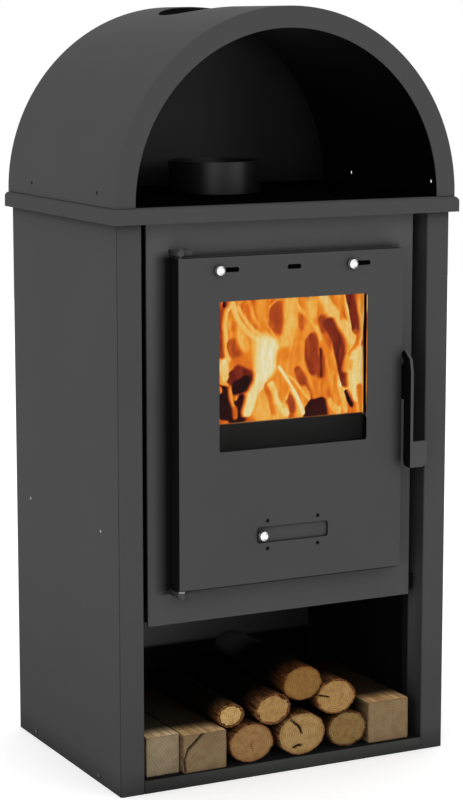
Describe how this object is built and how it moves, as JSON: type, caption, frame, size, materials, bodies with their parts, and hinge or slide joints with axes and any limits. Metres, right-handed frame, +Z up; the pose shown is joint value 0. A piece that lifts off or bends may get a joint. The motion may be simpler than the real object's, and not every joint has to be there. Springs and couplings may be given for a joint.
{
  "type": "wood stove",
  "caption": "Free-standing wood stove: tall steel cabinet with a glazed fire door, air slides, a log store below and a half-round hood over the flue collar.",
  "frame": {"origin": "on the floor, at the middle of the whole stove's footprint", "axes": "+X to the right seen from the front, +Y to the back, +Z up"},
  "size_m": [0.6008, 0.4604, 1.2063],
  "materials": {
    "painted_steel": "matt heat-proof paint",
    "dark_steel": "matt, darkened by heat",
    "cast_iron": "rough cast",
    "firebrick": "matt pressed board",
    "glass": "clear heat-proof glass",
    "glass_rope": "braided glass fibre",
    "nickel": "polished",
    "bright_steel": "zinc plated",
    "round_log": "bark with sawn ends",
    "sawn_timber": "rough sawn"
  },
  "bodies": {
    "stove": {"ash_floor_plate": "dark_steel", "ash_pan": "dark_steel", "back_bricks": "firebrick", "back_panel": "dark_steel", "back_screws": "bright_steel", "baffle_plate": "firebrick", "base_screws": "bright_steel", "base_tray": "painted_steel", "fire_grate": "cast_iron", "firebox_front": "painted_steel", "firebox_rail_left": "dark_steel", "firebox_rail_right": "dark_steel", "firebox_top_plate": "dark_steel", "firebox_wrap": "dark_steel", "firewood_round_logs": "round_log", "firewood_timbers": "sawn_timber", "floor_bricks": "firebrick", "flue_collar": "painted_steel", "grate_shelf": "dark_steel", "hinge_lugs": "painted_steel", "hinge_pins": "bright_steel", "hinge_washer": "bright_steel", "hood_back_plate": "painted_steel", "hood_feet": "dark_steel", "hood_front_ring": "painted_steel", "hood_screws": "bright_steel", "hood_shell": "painted_steel", "keeper_bracket": "painted_steel", "keeper_pin": "bright_steel", "log_retainer": "dark_steel", "side_brick_left": "firebrick", "side_brick_right": "firebrick", "side_panel_left": "painted_steel", "side_panel_right": "painted_steel", "store_heat_shield": "dark_steel", "top_plate": "painted_steel", "top_rails": "dark_steel"},
    "door": {"door_front": "painted_steel", "hinge_bushes": "dark_steel", "door_inner_plate": "dark_steel", "door_rope_seal": "glass_rope", "glass_gasket": "glass_rope", "door_glass": "glass", "glass_clips": "dark_steel", "clip_screws": "bright_steel", "air_wash_guides": "dark_steel", "primary_guides": "dark_steel", "guide_rivets": "bright_steel", "handle_pivot": "bright_steel", "handle_spacer": "bright_steel", "handle_backing": "dark_steel"},
    "air_wash_control": {"air_wash_slide": "dark_steel", "air_wash_knobs": "nickel"},
    "primary_air_control": {"primary_slide": "dark_steel", "primary_knob": "nickel"},
    "handle": {"handle_lever": "painted_steel"}
  },
  "joints": [
    {"name": "door_hinge", "type": "hinge", "parent": "stove", "child": "door", "pos_m": [-0.191, -0.2034, 0.5752], "axis": [0, 0, -1], "range_deg": [0, 110]},
    {"name": "handle_turn", "type": "hinge", "parent": "door", "child": "handle", "pos_m": [0.2028, -0.2012, 0.6505], "axis": [-1, 0, 0], "range_deg": [0, 40]},
    {"name": "air_wash_travel", "type": "slide", "parent": "door", "child": "air_wash_control", "axis": [1, 0, 0], "range_m": [0, 0.031]},
    {"name": "primary_air_travel", "type": "slide", "parent": "door", "child": "primary_air_control", "axis": [1, 0, 0], "range_m": [0, 0.09]}
  ]
}
